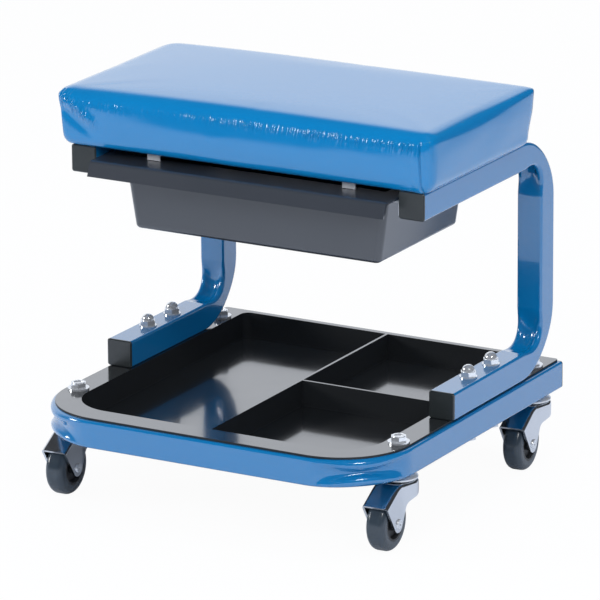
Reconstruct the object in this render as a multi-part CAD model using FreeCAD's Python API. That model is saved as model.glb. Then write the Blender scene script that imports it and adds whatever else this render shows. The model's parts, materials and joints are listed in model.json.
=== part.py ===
import FreeCAD
import Part
import math
import os

# A rolling workshop seat, in millimetres.
# +Z is up from the floor, +X is to the seat's right, the drawer opens towards -Y.
# The origin lies on the floor under the middle of the base.

# Square tube stock and its bends
TUBE_SIDE = 25.0
TUBE_WALL = 1.5
TUBE_EDGE_RADIUS = 2.2
BEND_SECTIONS = 7
BASE_BEND_RADIUS = 70.0       # outside of the bend
BASE_LOBE_RADIUS = 5.0        # rounded ridges beside the crushed wall
BASE_GROOVE = 6.0             # how far the outer wall caves in
LEG_BEND_RADIUS = 60.0
LEG_LOBE_RADIUS = 3.4
LEG_TROUGH = 4.6              # trough between the ridges inside the bend
LEG_PRESS = 7.5               # how far those ridges are pushed back
LEG_FLATTENING = 0.8          # how far the outside of the bend flattens

# Base
BASE_WIDTH = 356.8
BASE_DEPTH = 357.0            # front of the tube to the heads of the rear plugs

# Plastic end caps
CAP_HEAD = 2.0
CAP_EDGE = 0.9
CAP_TAIL = 16.0
CAP_WALL = 2.0
CAP_CLEARANCE = 0.15

# Tray
TRAY_SHEET = 2.0
TRAY_FLANGE_INSET = 4.0
TRAY_UNDERSIDE_GAP = 1.0      # tray's underside above the tube's
TRAY_TUBE_GAP = 0.5
TRAY_DRAFT_DEG = 2.0
TRAY_REAR_FLANGE = 4.0
TRAY_REAR_INSET = 1.5
TRAY_REAR_RADIUS = 8.0
FLANGE_REAR_RADIUS = 3.0
DIVIDER_THICKNESS = 2.4
CROSS_DIVIDER_Y = 11.4

# Legs
LEG_INSET = 0.7               # from the base's outer face to the leg's
LEG_HEIGHT = 220.4
LEG_REAR_INSET = 18.0         # from the base's rear to the leg's
LOWER_ARM_LENGTH = 192.5      # over the cap
UPPER_ARM_LENGTH = 247.5

# Leg bolts, washers and dome nuts
BOLT_RADIUS = 4.0
BOLT_CLEARANCE = 0.3
BOLT_FLATS = 13.0
BOLT_HEAD = 5.3
BOLT_GRIP = 4.0               # length inside the nut
LEG_WASHER_RADIUS = 8.0
LEG_WASHER_THICKNESS = 1.2
DOME_HEX_HEIGHT = 4.5
DOME_RADIUS = 5.8
DOME_NECK = 0.3               # straight part under the dome
LEG_BOLT_INSET = 51.0         # behind the lower cap's face
LEG_BOLT_PITCH = 43.0

# Casters
CASTER_OFFSET = 2.9           # inwards from the middle of the tube
CASTER_BEND_GAP = 2.5         # behind the end of the base's bend
CASTER_REAR_INSET = 31.5
CASTER_TRAIL = 24.8
CASTER_TURNS_DEG = {"front_left": 2.0, "front_right": 2.0, "rear_left": 1.0, "rear_right": 4.0}
WHEEL_RADIUS = 25.0
WHEEL_HEADROOM = 6.3          # tread to the fork's flat roof
WHEEL_HOOD_GAP = 1.32         # tread to the fork's sloping hood
WHEEL_WIDTH = 18.0
TYRE_SHOULDER = 6.0
TREAD_THICKNESS = 9.0
HUB_DISH = 3.5
HUB_BOSS_RADIUS = 6.5
HUB_GAP = 0.4                 # between hub boss and fork cheek
BUSH_RADIUS = 4.5
AXLE_RADIUS = 3.0
AXLE_HEAD_RADIUS = 4.6
AXLE_HEAD = 1.3
AXLE_DIMPLE_RADIUS = 1.6
AXLE_DIMPLE = 0.7
RUNNING_CLEARANCE = 0.06
PRESS_CLEARANCE = 0.02
FORK_SHEET = 2.0
FORK_CHEEK_GAP = 1.4          # wheel face to cheek
FORK_HEAD_RADIUS = 17.4       # round the swivel axis
FORK_FLARE_REACH = 17.0       # where the cheeks begin to flare
FORK_EDGE_RADIUS = 3.0
FORK_AXLE_END_RADIUS = 8.0
FORK_SHOULDER_RADIUS = 22.0
FORK_WAIST_RADIUS = 7.0
FORK_HOOD_DEG = 28.5
FORK_HOOD_COVER_SHARE = 0.9   # of the wheel's front half
FORK_SKIRT_DROP = 9.0
FORK_WAIST_REACH = 12.0
FORK_WAIST_DROP = 18.0
SWIVEL_DISC_RADIUS = 17.0
SWIVEL_DISC_THICKNESS = 4.1
SWIVEL_DISC_FLARE = 4.0       # how far its rim stands out from its top
SWIVEL_DISC_RIM = 1.4
SWIVEL_GAP = 1.0              # disc to fork
BALL_RADIUS = 1.3
BALL_COUNT = 8
BALL_CIRCLE_RADIUS = 10.5
RACE_CLEARANCE = 0.1
SWIVEL_CLEARANCE = 0.3
KINGPIN_RADIUS = 5.0
KINGPIN_HEAD_RADIUS = 8.5
KINGPIN_HEAD = 2.0
STEM_RADIUS = 4.0
STEM_CLEARANCE = 0.3
STEM_RECESS = 0.8             # below the nut's top
CASTER_WASHER_RADIUS = 9.8
CASTER_WASHER_THICKNESS = 1.6
CASTER_NUT_FLATS = 13.0
CASTER_NUT_HEX = 4.4
CASTER_NUT_COLLAR_RADIUS = 5.8
CASTER_NUT_COLLAR = 0.7

# Seat
SEAT_OVERHANG = 7.1           # past the base's sides, at the underside
SEAT_FRONT_OVERHANG = 5.0     # past the upper caps
SEAT_DEPTH = 192.0
SEAT_EDGE_HEIGHT = 51.0       # underside to the top edge
SEAT_FLARE = 4.5              # how far the top edge stands out
SEAT_CROWN = 4.0              # rise from the ends to the middle
SEAT_CROSS_CROWN = 1.6        # rise from front and back to the middle
SEAT_CROWN_REACH_SHARE = 1.2
SEAT_CORNER_RADIUS = 9.5
SEAT_LOWER_RADIUS = 3.0
SEAT_EDGE_SOFTNESS = 6.5
COVER_THICKNESS = 1.2
COVER_TURN_UNDER = 25.0
BOARD_THICKNESS = 12.0
BOARD_INSET = 3.0             # foam wraps the edge of the board
SEAT_SCREW_FRONT_INSET = 42.0
SEAT_SCREW_REAR_INSET = 38.0
SEAT_SCREW_RADIUS = 3.0
SEAT_SCREW_HEAD_RADIUS = 5.5
SEAT_SCREW_HEAD = 3.0
TEE_BARREL_RADIUS = 4.2
TEE_BARREL_LENGTH = 9.0
TEE_FLANGE_RADIUS = 9.0
TEE_FLANGE = 1.2

# Drawer
DRAWER_HEADROOM = 8.0         # rim to the underside of the seat
DRAWER_DEPTH = 66.7
DRAWER_WALL = 2.2
DRAWER_FLOOR_SIDE_INSET = 25.2    # from the rim's edge
DRAWER_FLOOR_FRONT_INSET = 22.0   # from the seat's front
DRAWER_FLOOR_REAR_INSET = 23.0
DRAWER_SIDE_DRAFT_DEG = 8.6
DRAWER_END_DRAFT_DEG = 1.2
DRAWER_CORNER_RADIUS = 6.0
DRAWER_FLOOR_RADIUS = 4.0
RIM_ARM_GAP = 3.9
RIM_REAR_WIDTH = 12.0
LIP_OVERHANG = 10.2           # past the seat's front
LIP_LEAN = 5.7
LIP_DROP = 13.3
LIP_FOLD_RADIUS = 3.5
LUG_INSET = 3.5               # in front of the rim's rear edge
LUG_WIDTH = 20.0
LUG_THICKNESS = 4.0
LUG_HEIGHT = 3.2

# Drawer rails and stops
RAIL_SHEET = 1.5
RAIL_LEDGE = 10.5
RAIL_HEIGHT = 12.5
RAIL_FRONT_INSET = 3.0        # behind the upper cap's face
RAIL_REAR_INSET = 12.0        # in front of the seat's rear
RAIL_CLEARANCE = 0.3
RIVET_RADIUS = 1.6
RIVET_HEAD_RADIUS = 3.2
RIVET_HEAD = 1.0
RIVET_TAIL_RADIUS = 2.2
RIVET_COUNT = 3
STOP_RIM_INSET = 50.4
STOP_FRONT_INSET = 15.0       # seat's front to the hanging tab
STOP_WIDTH = 13.0
STOP_SHEET = 1.6
STOP_FOOT = 18.0
STOP_BEND_RADIUS = 2.4
STOP_CLEARANCE = 0.4
STOP_SCREW_RADIUS = 2.0
STOP_SCREW_HEAD_RADIUS = 4.0
STOP_SCREW_HEAD = 1.8
STOP_SCREW_LENGTH = 11.0
STOP_SCREW_SHARE = 0.6        # of the foot's length

# Working values
OVERRUN = 5.0                 # how far a cut runs past the material
TOUCH = 1e-6
LEVEL_MARGIN = 0.01

# Worked-out places
QUARTER_TURN_DEG = 90.0
HEX_SIDES = 6
FORK_TOP = 2 * WHEEL_RADIUS + WHEEL_HEADROOM + FORK_SHEET
RACE_DEPTH = 2 * BALL_RADIUS + SWIVEL_CLEARANCE - SWIVEL_GAP
CASTER_HEIGHT = FORK_TOP + SWIVEL_GAP + SWIVEL_DISC_THICKNESS     # floor to the underside of the tube
TUBE_CENTRE_X = BASE_WIDTH / 2 - TUBE_SIDE / 2
CASTER_X = TUBE_CENTRE_X - CASTER_OFFSET
BASE_FRONT = -BASE_DEPTH / 2
BASE_REAR = BASE_DEPTH / 2
BASE_TUBE_REAR = BASE_REAR - CAP_HEAD
BASE_TOP = CASTER_HEIGHT + TUBE_SIDE
TRAY_DEPTH = TUBE_SIDE - TRAY_UNDERSIDE_GAP
FLANGE_TOP = BASE_TOP + TRAY_SHEET
LEG_X = BASE_WIDTH / 2 - LEG_INSET - TUBE_SIDE / 2
LEG_INNER_X = LEG_X - TUBE_SIDE / 2
LEG_REAR = BASE_REAR - LEG_REAR_INSET
LOWER_ARM_FRONT = LEG_REAR - LOWER_ARM_LENGTH
UPPER_ARM_FRONT = LEG_REAR - UPPER_ARM_LENGTH
LEG_TOP = FLANGE_TOP + LEG_HEIGHT
LOWER_ARM_TOP = FLANGE_TOP + TUBE_SIDE
UPPER_ARM_UNDERSIDE = LEG_TOP - TUBE_SIDE
LEG_BOLT_YS = (LOWER_ARM_FRONT + LEG_BOLT_INSET, LOWER_ARM_FRONT + LEG_BOLT_INSET + LEG_BOLT_PITCH)
CASTER_FRONT_Y = BASE_FRONT + BASE_BEND_RADIUS + CASTER_BEND_GAP
CASTER_YS = {"front": CASTER_FRONT_Y, "rear": BASE_REAR - CASTER_REAR_INSET}
SIDES = {"left": -1, "right": 1}
SEAT_HALF_WIDTH = BASE_WIDTH / 2 + SEAT_OVERHANG
SEAT_FRONT = UPPER_ARM_FRONT - SEAT_FRONT_OVERHANG
SEAT_REAR = SEAT_FRONT + SEAT_DEPTH
SEAT_SCREW_YS = (SEAT_FRONT + SEAT_SCREW_FRONT_INSET, SEAT_REAR - SEAT_SCREW_REAR_INSET)
BOARD_UNDERSIDE = LEG_TOP + COVER_THICKNESS
RIM_HALF_WIDTH = LEG_INNER_X - RIM_ARM_GAP
DRAWER_FLOOR_HALF_WIDTH = RIM_HALF_WIDTH - DRAWER_FLOOR_SIDE_INSET
DRAWER_FLOOR_FRONT = SEAT_FRONT + DRAWER_FLOOR_FRONT_INSET
DRAWER_FLOOR_REAR = SEAT_REAR - DRAWER_FLOOR_REAR_INSET
LIP_TOP_Y = SEAT_FRONT - LIP_OVERHANG
RAIL_FRONT = UPPER_ARM_FRONT + RAIL_FRONT_INSET
RAIL_REAR = SEAT_REAR - RAIL_REAR_INSET
STOP_X = RIM_HALF_WIDTH - STOP_RIM_INSET
STOP_Y = SEAT_FRONT + STOP_FRONT_INSET        # front face of the hanging tab
DRAWER_RIM_Z = LEG_TOP - DRAWER_HEADROOM
DRAWER_FLOOR_Z = DRAWER_RIM_Z - DRAWER_DEPTH
LIP_BOTTOM_Z = DRAWER_RIM_Z - LIP_DROP
SIDE_DRAFT = math.tan(math.radians(DRAWER_SIDE_DRAFT_DEG))
END_DRAFT = math.tan(math.radians(DRAWER_END_DRAFT_DEG))
FORK_HALF_WIDTH = WHEEL_WIDTH / 2 + FORK_CHEEK_GAP + FORK_SHEET
TYRE_RIM_RADIUS = WHEEL_RADIUS - TREAD_THICKNESS
HOOD_ANGLE = math.radians(FORK_HOOD_DEG)
HOOD_SLOPE = math.tan(HOOD_ANGLE)
HOOD_OUTSIDE = WHEEL_RADIUS + WHEEL_HOOD_GAP + FORK_SHEET
HOOD_LEAD = (HOOD_OUTSIDE - (FORK_TOP - WHEEL_RADIUS) * math.cos(HOOD_ANGLE)) / math.sin(HOOD_ANGLE)
FORK_HOOD_START = CASTER_TRAIL + HOOD_LEAD    # in front of the swivel axis
FORK_HOOD_REACH = CASTER_TRAIL + WHEEL_RADIUS * FORK_HOOD_COVER_SHARE
FORK_HOOD_DROP = (FORK_HOOD_REACH - FORK_HOOD_START) * HOOD_SLOPE

vec = FreeCAD.Vector
UP = vec(0, 0, 1)
RIGHT = vec(1, 0, 0)
BACK = vec(0, 1, 0)


def line(start, end):
    return Part.LineSegment(start, end).toShape()


def arc(start, middle, end):
    return Part.Arc(start, middle, end).toShape()


def box(low, high):
    size = high - low
    return Part.makeBox(size.x, size.y, size.z, low)


def rod(radius, start, end):
    along = end - start
    return Part.makeCylinder(radius, along.Length, start, along)


def fuse(shapes):
    whole = shapes[0].multiFuse(shapes[1:]) if len(shapes) > 1 else shapes[0]
    return whole.removeSplitter()


def rounded_wire(points, radii):
    """A closed flat outline whose corners are rounded by tangent arcs."""
    count = len(points)
    starts, middles, ends = [], [], []
    for index, corner in enumerate(points):
        back = (points[index - 1] - corner).normalize()
        ahead = (points[(index + 1) % count] - corner).normalize()
        half_angle = back.getAngle(ahead) / 2
        radius = radii[index]
        reach = radius / math.tan(half_angle)
        inward = (back + ahead).normalize()
        starts.append(corner + back * reach)
        middles.append(corner + inward * (radius / math.sin(half_angle) - radius))
        ends.append(corner + ahead * reach)
    edges = []
    for index in range(count):
        if radii[index] > 0:
            edges.append(arc(starts[index], middles[index], ends[index]))
        following = starts[(index + 1) % count]
        if (following - ends[index]).Length > TOUCH:
            edges.append(line(ends[index], following))
    return Part.Wire(edges)


def prism(points, radii, along):
    return Part.Face(rounded_wire(points, radii)).extrude(along)


def revolve(profile, centre, axis, across):
    """Turn a closed outline of (along, out) pairs about an axis."""
    points = [centre + axis * along + across * out for along, out in profile]
    wire = Part.makePolygon(points + points[:1])
    return Part.Face(wire).revolve(centre, axis, math.degrees(math.tau))


def hexagon(flats, height, base):
    """An upright hexagon standing on base."""
    corner = flats / 2 / math.cos(math.pi / HEX_SIDES)
    angles = [math.tau * step / HEX_SIDES for step in range(HEX_SIDES)]
    points = [base + vec(math.cos(angle), math.sin(angle), 0) * corner for angle in angles]
    return prism(points, [0] * HEX_SIDES, UP * height)


def mirrored(shape):
    return shape.mirror(vec(0, 0, 0), RIGHT)


def grouped(shapes):
    return Part.makeCompound(shapes)


# Bent square tube


def tube_wall_side(level, outward, radius, groove, skin):
    """Points of one wall across the bend: its ridge's start and crest, its groove's edge and floor."""
    wide = TUBE_SIDE / 2 - radius
    centre = level - outward * radius
    start = (centre, TUBE_SIDE / 2 - skin)
    if groove > TOUCH:
        span = (groove ** 2 + wide ** 2) / (2 * groove)
        lean = (outward * (span - groove) / span, -wide / span)
    else:
        lean = (outward, 0)
    crest_length = math.hypot(lean[0], 1 + lean[1])
    shrunk = radius - skin
    crest = (centre + lean[0] / crest_length * shrunk, wide + (1 + lean[1]) / crest_length * shrunk)
    edge = (centre + lean[0] * shrunk, wide + lean[1] * shrunk)
    floor = (level - outward * (groove + skin), 0)
    return start, crest, edge, floor


def tube_section(centre, radial, axis, skin, form, swell):
    """The tube's outline across a bend; skin is how far inside the outer surface it lies."""
    bend_radius, lobe, outer_groove, outer_flat, inner_trough, inner_press = form
    radius = TUBE_EDGE_RADIUS + (lobe - TUBE_EDGE_RADIUS) * swell
    outer = tube_wall_side(bend_radius - outer_flat * swell, 1, radius, outer_groove * swell, skin)
    inner_level = bend_radius - TUBE_SIDE + inner_press * swell
    inner = tube_wall_side(inner_level, -1, radius, inner_trough * swell, skin)

    def at(point, side):
        return centre + radial * point[0] + axis * (point[1] * side)

    def wall(points, grooved):
        start, crest, edge, floor = points
        middle = line(at(edge, 1), at(edge, -1))
        if grooved:
            middle = arc(at(edge, 1), at(floor, 1), at(edge, -1))
        return [arc(at(start, 1), at(crest, 1), at(edge, 1)),
                middle,
                arc(at(edge, -1), at(crest, -1), at(start, -1))]

    outer_wall = wall(outer, outer_groove * swell > TOUCH)
    inner_wall = wall(inner, inner_trough * swell > TOUCH)
    top = line(at(inner[0], 1), at(outer[0], 1))
    bottom = line(at(outer[0], -1), at(inner[0], -1))
    return Part.Wire(Part.__sortEdges__([top] + outer_wall + [bottom] + inner_wall))


def turned(start, end, share):
    """The radial direction a share of a quarter turn from start towards end."""
    angle = math.radians(QUARTER_TURN_DEG) * share
    return start * math.cos(angle) + end * math.sin(angle)


def bend(centre, start, end, axis, skin, form):
    """A quarter bend from one radial direction to another, crushed most in its middle."""
    wires = []
    for step in range(BEND_SECTIONS):
        share = step / (BEND_SECTIONS - 1)
        swell = math.sin(math.pi * share) ** 2
        wires.append(tube_section(centre, turned(start, end, share), axis, skin, form, swell))
    return Part.makeLoft(wires, True, False)


def straight(centre, radial, axis, skin, form, along):
    """A straight run that leaves a bend's end square to it."""
    section = tube_section(centre, radial, axis, skin, form, 0)
    return Part.Face(section).extrude(along)


# Bend radius, lobe radius, outer groove, outer flattening, inner trough and inner press
BASE_BEND = (BASE_BEND_RADIUS, BASE_LOBE_RADIUS, BASE_GROOVE, 0, 0, 0)
LEG_BEND = (LEG_BEND_RADIUS, LEG_LOBE_RADIUS, 0, LEG_FLATTENING, LEG_TROUGH, LEG_PRESS)


def base_tube(skin, past_end):
    """The U-shaped tube of the base, filled up to a skin's depth."""
    middle_z = CASTER_HEIGHT + TUBE_SIDE / 2
    reach = BASE_WIDTH / 2 - BASE_BEND_RADIUS
    bend_y = BASE_FRONT + BASE_BEND_RADIUS
    side_run = BACK * (BASE_TUBE_REAR - bend_y + past_end)
    pieces = []
    for side in SIDES.values():
        centre = vec(side * reach, bend_y, middle_z)
        outward = RIGHT * side
        pieces.append(straight(centre, outward, UP, skin, BASE_BEND, side_run))
        pieces.append(bend(centre, outward, BACK * -1, UP, skin, BASE_BEND))
    left_centre = vec(-reach, bend_y, middle_z)
    pieces.append(straight(left_centre, BACK * -1, UP, skin, BASE_BEND, RIGHT * (2 * reach)))
    return fuse(pieces)


def leg_tube(skin, past_end):
    """The C-shaped tube of the right leg, filled up to a skin's depth."""
    bend_y = LEG_REAR - LEG_BEND_RADIUS
    low = vec(LEG_X, bend_y, FLANGE_TOP + LEG_BEND_RADIUS)
    high = vec(LEG_X, bend_y, LEG_TOP - LEG_BEND_RADIUS)
    lower_run = BACK * (LOWER_ARM_FRONT + CAP_HEAD - bend_y - past_end)
    upper_run = BACK * (UPPER_ARM_FRONT + CAP_HEAD - bend_y - past_end)
    return fuse([
        straight(low, UP * -1, RIGHT, skin, LEG_BEND, lower_run),
        bend(low, UP * -1, BACK, RIGHT, skin, LEG_BEND),
        straight(low, BACK, RIGHT, skin, LEG_BEND, high - low),
        bend(high, BACK, UP, RIGHT, skin, LEG_BEND),
        straight(high, UP, RIGHT, skin, LEG_BEND, upper_run),
    ])


def upright_holes(x, ys, radius, low, high):
    return [rod(radius, vec(x, y, low - OVERRUN), vec(x, y, high + OVERRUN)) for y in ys]


def base_frame():
    hollow = base_tube(0, 0).cut(base_tube(TUBE_WALL, OVERRUN))
    holes = []
    for side in SIDES.values():
        bolt_hole = BOLT_RADIUS + BOLT_CLEARANCE
        stem_hole = STEM_RADIUS + STEM_CLEARANCE
        holes += upright_holes(side * LEG_X, LEG_BOLT_YS, bolt_hole, CASTER_HEIGHT, BASE_TOP)
        holes += upright_holes(side * CASTER_X, CASTER_YS.values(), stem_hole, CASTER_HEIGHT, BASE_TOP)
    return hollow.cut(holes)


def rivet_ys():
    pitch = (RAIL_REAR - RAIL_FRONT) / RIVET_COUNT
    return [RAIL_FRONT + pitch / 2 + pitch * step for step in range(RIVET_COUNT)]


def rivet_z():
    return rail_top() - RAIL_HEIGHT / 2


def right_leg():
    hollow = leg_tube(0, 0).cut(leg_tube(TUBE_WALL, OVERRUN))
    bolt_hole = BOLT_RADIUS + BOLT_CLEARANCE
    holes = upright_holes(LEG_X, LEG_BOLT_YS, bolt_hole, FLANGE_TOP, LOWER_ARM_TOP)
    screw_hole = SEAT_SCREW_RADIUS + BOLT_CLEARANCE
    holes += upright_holes(LEG_X, SEAT_SCREW_YS, screw_hole, UPPER_ARM_UNDERSIDE, LEG_TOP)
    for y in rivet_ys():
        start = vec(LEG_INNER_X - OVERRUN, y, rivet_z())
        holes.append(rod(RIVET_RADIUS + PRESS_CLEARANCE, start, vec(LEG_X, y, rivet_z())))
    return hollow.cut(holes)


# Tube caps


def end_cap(face_centre, outward):
    """A square push-in cap; face_centre is the middle of its outer face."""
    half = TUBE_SIDE / 2
    tail_half = half - TUBE_WALL - CAP_CLEARANCE
    core_half = tail_half - CAP_WALL
    across = outward.cross(UP)

    def square(half_side, depth):
        corners = ((-1, -1), (1, -1), (1, 1), (-1, 1))
        middle = face_centre - outward * depth
        return [middle + across * (a * half_side) + UP * (b * half_side) for a, b in corners]

    def rounded(half_side, radius, depth, length):
        return prism(square(half_side, depth), [radius] * 4, outward * -length)

    face = rounded_wire(square(half - CAP_EDGE, 0), [TUBE_EDGE_RADIUS - CAP_EDGE] * 4)
    rim = rounded_wire(square(half, CAP_EDGE), [TUBE_EDGE_RADIUS] * 4)
    bevel = Part.makeLoft([face, rim], True, True)
    plate = rounded(half, TUBE_EDGE_RADIUS, CAP_EDGE, CAP_HEAD - CAP_EDGE)
    tail = rounded(tail_half, TUBE_EDGE_RADIUS - TUBE_WALL, CAP_HEAD, CAP_TAIL)
    core = rounded(core_half, 0, CAP_HEAD, CAP_TAIL + OVERRUN)
    return fuse([bevel, plate, tail.cut(core)])


def caps():
    """Every cap by name."""
    made = {}
    forward = BACK * -1
    for name, side in SIDES.items():
        lower = vec(side * LEG_X, LOWER_ARM_FRONT, FLANGE_TOP + TUBE_SIDE / 2)
        upper = vec(side * LEG_X, UPPER_ARM_FRONT, LEG_TOP - TUBE_SIDE / 2)
        rear = vec(side * TUBE_CENTRE_X, BASE_REAR, CASTER_HEIGHT + TUBE_SIDE / 2)
        made["lower_" + name + "_cap"] = end_cap(lower, forward)
        made["upper_" + name + "_cap"] = end_cap(upper, forward)
        made[name + "_rear_plug"] = end_cap(rear, BACK)
    return made


# Tray


def plan_outline(half_width, front, rear, front_radius, rear_radius, z):
    corners = ((-half_width, front), (half_width, front), (half_width, rear), (-half_width, rear))
    points = [vec(x, y, z) for x, y in corners]
    return rounded_wire(points, [front_radius, front_radius, rear_radius, rear_radius])


def tray_pocket(inset, top, floor):
    """The tray's pocket as a drafted block, inset from its outer wall."""
    draft = math.tan(math.radians(TRAY_DRAFT_DEG))
    outer_gap = TUBE_SIDE + TRAY_TUBE_GAP
    rear = BASE_REAR - TRAY_REAR_INSET - TRAY_REAR_FLANGE
    wires = []
    for z in (top, floor):
        shrink = inset + (FLANGE_TOP - z) * draft
        wires.append(plan_outline(
            BASE_WIDTH / 2 - outer_gap - shrink,
            BASE_FRONT + outer_gap + shrink,
            rear - shrink,
            BASE_BEND_RADIUS - outer_gap - shrink,
            TRAY_REAR_RADIUS,
            z))
    return Part.makeLoft(wires, True, True)


def tray():
    flange_inset = TRAY_FLANGE_INSET
    outline = plan_outline(
        BASE_WIDTH / 2 - flange_inset,
        BASE_FRONT + flange_inset,
        BASE_REAR - TRAY_REAR_INSET,
        BASE_BEND_RADIUS - flange_inset,
        FLANGE_REAR_RADIUS,
        BASE_TOP)
    flange = Part.Face(outline).extrude(UP * TRAY_SHEET)
    floor = FLANGE_TOP - TRAY_DEPTH
    shell = tray_pocket(0, FLANGE_TOP, floor - TRAY_SHEET)
    hollow = tray_pocket(TRAY_SHEET, FLANGE_TOP + OVERRUN, floor)
    half = DIVIDER_THICKNESS / 2
    lengthwise = box(vec(-half, BASE_FRONT, floor), vec(half, BASE_REAR, FLANGE_TOP))
    cross_rear = CROSS_DIVIDER_Y + half
    cross_low = vec(0, cross_rear - DIVIDER_THICKNESS, floor)
    crosswise = box(cross_low, vec(BASE_WIDTH / 2, cross_rear, FLANGE_TOP))
    dividers = fuse([lengthwise, crosswise]).common(tray_pocket(TRAY_SHEET, FLANGE_TOP, floor))
    body = fuse([fuse([flange, shell]).cut(hollow), dividers])
    holes = []
    for side in SIDES.values():
        holes += upright_holes(side * LEG_X, LEG_BOLT_YS, BOLT_RADIUS + BOLT_CLEARANCE, BASE_TOP, FLANGE_TOP)
        stem_hole = STEM_RADIUS + STEM_CLEARANCE
        holes += upright_holes(side * CASTER_X, CASTER_YS.values(), stem_hole, BASE_TOP, FLANGE_TOP)
    return body.cut(holes)


# Fasteners


def leg_places():
    return [vec(side * LEG_X, y, 0) for side in SIDES.values() for y in LEG_BOLT_YS]


def ring(outer, inner, base, height):
    return rod(outer, base, base + UP * height).cut(rod(inner, base, base + UP * height))


def leg_bolts():
    nut_base = LOWER_ARM_TOP + LEG_WASHER_THICKNESS
    made = []
    for place in leg_places():
        seat = place + UP * CASTER_HEIGHT
        head = hexagon(BOLT_FLATS, BOLT_HEAD, seat - UP * BOLT_HEAD)
        shank = rod(BOLT_RADIUS, seat, place + UP * (nut_base + BOLT_GRIP))
        made.append(fuse([head, shank]))
    return grouped(made)


def leg_washers():
    hole = BOLT_RADIUS + BOLT_CLEARANCE
    bases = [place + UP * LOWER_ARM_TOP for place in leg_places()]
    return grouped([ring(LEG_WASHER_RADIUS, hole, base, LEG_WASHER_THICKNESS) for base in bases])


def dome_nut(base):
    hexagonal = hexagon(BOLT_FLATS, DOME_HEX_HEIGHT, base)
    neck = rod(DOME_RADIUS, base, base + UP * (DOME_HEX_HEIGHT + DOME_NECK))
    crown = Part.makeSphere(DOME_RADIUS, base + UP * (DOME_HEX_HEIGHT + DOME_NECK), UP, 0, QUARTER_TURN_DEG)
    bore = rod(BOLT_RADIUS + PRESS_CLEARANCE, base, base + UP * (BOLT_GRIP + PRESS_CLEARANCE))
    return fuse([hexagonal, neck, crown]).cut(bore)


def dome_nuts():
    height = LOWER_ARM_TOP + LEG_WASHER_THICKNESS
    return grouped([dome_nut(place + UP * height) for place in leg_places()])


def caster_places():
    return [vec(side * CASTER_X, y, 0) for side in SIDES.values() for y in CASTER_YS.values()]


def caster_washers():
    hole = STEM_RADIUS + STEM_CLEARANCE
    bases = [place + UP * FLANGE_TOP for place in caster_places()]
    return grouped([ring(CASTER_WASHER_RADIUS, hole, base, CASTER_WASHER_THICKNESS) for base in bases])


def caster_nut(base):
    """A lock nut: a hexagon under a round collar."""
    top = base + UP * CASTER_NUT_HEX
    collar = rod(CASTER_NUT_COLLAR_RADIUS, top, top + UP * CASTER_NUT_COLLAR)
    bore_top = top + UP * (CASTER_NUT_COLLAR + OVERRUN)
    bore = rod(STEM_RADIUS + PRESS_CLEARANCE, base - UP * OVERRUN, bore_top)
    return fuse([hexagon(CASTER_NUT_FLATS, CASTER_NUT_HEX, base), collar]).cut(bore)


def caster_nuts():
    height = FLANGE_TOP + CASTER_WASHER_THICKNESS
    return grouped([caster_nut(place + UP * height) for place in caster_places()])


# Casters, each built about its swivel axis at place and trailing towards -Y


def caster_stem(place):
    """Threaded stem, flared swivel disc with its ball race and riveted kingpin, turned in one piece."""
    nut_top = FLANGE_TOP + CASTER_WASHER_THICKNESS + CASTER_NUT_HEX + CASTER_NUT_COLLAR
    disc_low = CASTER_HEIGHT - SWIVEL_DISC_THICKNESS
    race_half = BALL_RADIUS + RACE_CLEARANCE
    head_top = FORK_TOP - FORK_SHEET - SWIVEL_CLEARANCE
    profile = [
        (nut_top - STEM_RECESS, 0),
        (nut_top - STEM_RECESS, STEM_RADIUS),
        (CASTER_HEIGHT, STEM_RADIUS),
        (CASTER_HEIGHT, SWIVEL_DISC_RADIUS - SWIVEL_DISC_FLARE),
        (disc_low + SWIVEL_DISC_RIM, SWIVEL_DISC_RADIUS),
        (disc_low, SWIVEL_DISC_RADIUS),
        (disc_low, BALL_CIRCLE_RADIUS + race_half),
        (disc_low + RACE_DEPTH, BALL_CIRCLE_RADIUS + race_half),
        (disc_low + RACE_DEPTH, BALL_CIRCLE_RADIUS - race_half),
        (disc_low, BALL_CIRCLE_RADIUS - race_half),
        (disc_low, KINGPIN_RADIUS),
        (head_top, KINGPIN_RADIUS),
        (head_top, KINGPIN_HEAD_RADIUS),
        (head_top - KINGPIN_HEAD, KINGPIN_RADIUS),
        (head_top - KINGPIN_HEAD, 0),
    ]
    return revolve(profile, place, UP, RIGHT)


def caster_balls(place):
    centre_z = CASTER_HEIGHT - SWIVEL_DISC_THICKNESS + RACE_DEPTH - BALL_RADIUS
    made = []
    for step in range(BALL_COUNT):
        angle = math.tau * step / BALL_COUNT
        out = vec(math.cos(angle), math.sin(angle), 0) * BALL_CIRCLE_RADIUS
        made.append(Part.makeSphere(BALL_RADIUS, place + out + UP * centre_z))
    return grouped(made)


def tangent_point(centre, radius, outside, turn):
    """Where a line from a point outside touches a circle in the YZ plane; turn picks the side."""
    towards = outside - centre
    angle = turn * math.acos(radius / towards.Length)
    towards.normalize()
    return centre + (towards * math.cos(angle) + RIGHT.cross(towards) * math.sin(angle)) * radius


def fork_plan(place, skin):
    """The fork seen from above: straight cheeks that flare to a round head about the swivel axis."""
    half = FORK_HALF_WIDTH - skin
    head = FORK_HEAD_RADIUS - skin
    far = FORK_HOOD_REACH + OVERRUN

    def at(out, ahead):
        return place + vec(out, -ahead, 0)

    left = [at(-half, far), at(-half, FORK_FLARE_REACH), at(-head, 0)]
    right = [at(head, 0), at(half, FORK_FLARE_REACH), at(half, far)]
    edges = [line(left[0], left[1]), line(left[1], left[2]), arc(left[2], at(0, -head), right[0]),
             line(right[0], right[1]), line(right[1], right[2]), line(right[2], left[0])]
    return Part.Face(Part.Wire(edges)).extrude(UP * FORK_TOP)


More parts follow.
